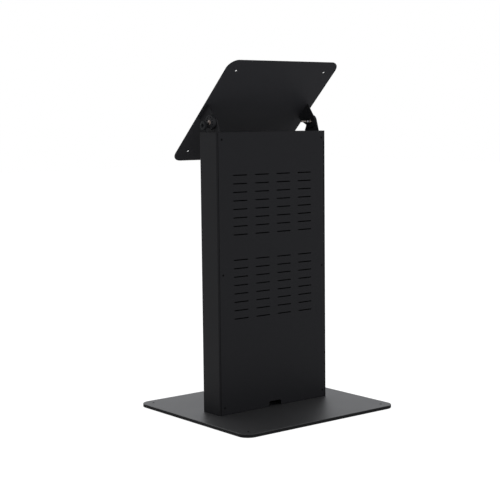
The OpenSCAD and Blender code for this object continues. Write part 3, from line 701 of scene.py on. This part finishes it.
def make_pads():
    """Round rubber pads under the base, two across and three along, with softened rims."""
    low, high = corners_mm("base_pads")
    bottom, top = low[2], high[2]
    outline = softened(
        [(bottom, PAD_MIDDLE), (bottom, PAD_RADIUS), (top, PAD_RADIUS), (top, PAD_MIDDLE)],
        PAD_CORNERS)
    across = np.linspace(low[0] + PAD_RADIUS, high[0] - PAD_RADIUS, 2)
    along = np.linspace(low[1] + PAD_RADIUS, high[1] - PAD_RADIUS, 3)
    skins = [skin(round_upright(outline[:, 0], outline[:, 1], (x, y)))
             for x in across for y in along]
    make_piece("base_pads_moulded", skins, "column", "base_pads", "rubber")


make_pivot_bolts()
make_pivot_nuts()
make_pivot_washers()
make_washers("friction_washers", "column", "friction_plastic", FRICTION_THICK,
             WASHER_BORE, FRICTION_EDGE)
make_clamp_stud()
make_clamp_knob()
make_clamp_nut()
make_grommet()
make_pads()


# Camera, as fitted to the photo's outline: place, aim, lens and a slight roll

CAMERA_AT = Vector((2816.82, 3460.54, 1047.91)) * MM
CAMERA_AIM = Vector((69.111, 0.0, 584.811)) * MM
CAMERA_ROLL = math.radians(-0.604)
LENS_MM = 89.05
SENSOR_MM = 36.0


def make_camera():
    """The photo's viewpoint."""
    data = bpy.data.cameras.new("camera")
    data.lens = LENS_MM
    data.sensor_width = SENSOR_MM
    data.clip_start, data.clip_end = 0.05, 100
    camera = bpy.data.objects.new("camera", data)
    camera.location = CAMERA_AT
    camera.rotation_mode = "QUATERNION"
    aim = (CAMERA_AIM - CAMERA_AT).to_track_quat("-Z", "Y")
    camera.rotation_quaternion = aim @ Quaternion((0, 0, 1), CAMERA_ROLL)
    bpy.context.scene.collection.objects.link(camera)
    bpy.context.scene.camera = camera


# Studio: white all round, even soft light

COOL_WHITE = (0.955, 0.97, 1.0)
FLOOR_PALE = 0.8
LAMP_SIZE = 3.0
LAMP_AIM = Vector((0, 0, 0.6))


def seen_directly(tree):
    """1 for rays that show the backdrop: camera, mirror-like and see-through ones."""
    path = add(tree, "ShaderNodeLightPath")
    either = math_node(
        tree, "MAXIMUM", path.outputs["Is Camera Ray"], path.outputs["Is Glossy Ray"])
    return math_node(tree, "MAXIMUM", either, path.outputs["Is Transmission Ray"])


def make_world(ambient):
    """White where it is seen, and a soft even glow where it lights."""
    world = bpy.data.worlds.new("studio")
    bpy.context.scene.world = world
    tree = nodes_of(world)
    light = add(tree, "ShaderNodeBackground")
    straight = add(tree, "ShaderNodeLightPath").outputs["Is Camera Ray"]
    join(tree, blend_colours(tree, straight, COOL_WHITE, (1.0, 1.0, 1.0)), light.inputs["Color"])
    join(tree, remap(tree, seen_directly(tree), 0, 1, ambient, 1.0), light.inputs["Strength"])
    end = add(tree, "ShaderNodeOutputWorld")
    join(tree, light.outputs[0], end.inputs["Surface"])


def make_floor(size, white, shade_share):
    """A pale floor: seen, it is white with a faint shadow; for light, it is plain pale matt.
    The white is its own glow, and shade_share is the part that the lamps and shadows give."""
    material = bpy.data.materials.new("floor")
    tree = nodes_of(material)
    glow = add(tree, "ShaderNodeEmission")
    glow.inputs["Strength"].default_value = white
    matt = add(tree, "ShaderNodeBsdfDiffuse")
    seen = seen_directly(tree)
    level = remap(tree, seen, 0, 1, FLOOR_PALE, shade_share)
    grey = add(tree, "ShaderNodeCombineColor")
    for channel in grey.inputs[:3]:
        join(tree, level, channel)
    join(tree, grey.outputs[0], matt.inputs["Color"])
    both = add(tree, "ShaderNodeAddShader")
    join(tree, glow.outputs[0], both.inputs[0], matt.outputs[0], both.inputs[1])
    choose = add(tree, "ShaderNodeMixShader")
    end = add(tree, "ShaderNodeOutputMaterial")
    join(tree, seen, choose.inputs[0], matt.outputs[0], choose.inputs[1],
         both.outputs[0], choose.inputs[2], choose.outputs[0], end.inputs["Surface"])
    half = size / 2
    corners = [(-half, -half, 0), (half, -half, 0), (half, half, 0), (-half, half, 0)]
    mesh = bpy.data.meshes.new("floor")
    mesh.from_pydata(corners, [], [(0, 1, 2, 3)])
    mesh.materials.append(material)
    floor = bpy.data.objects.new("floor", mesh)
    bpy.context.scene.collection.objects.link(floor)


def area_lamp(name, at, power):
    """A square soft lamp at a point, facing the middle of the stand."""
    data = bpy.data.lights.new(name, "AREA")
    data.shape = "SQUARE"
    data.size = LAMP_SIZE
    data.energy = power
    lamp = bpy.data.objects.new(name, data)
    lamp.location = at
    lamp.rotation_mode = "QUATERNION"
    lamp.rotation_quaternion = (LAMP_AIM - Vector(at)).to_track_quat("-Z", "Y")
    bpy.context.scene.collection.objects.link(lamp)


make_camera()
make_world(ambient=0.62)
make_floor(size=40, white=0.87, shade_share=0.28)
area_lamp("key", (2.4, 3.4, 4.0), power=57)
area_lamp("fill", (-3.6, 1.0, 2.6), power=30)
area_lamp("front", (0.6, -4.2, 3.0), power=45)
bpy.context.scene.view_settings.view_transform = "Standard"
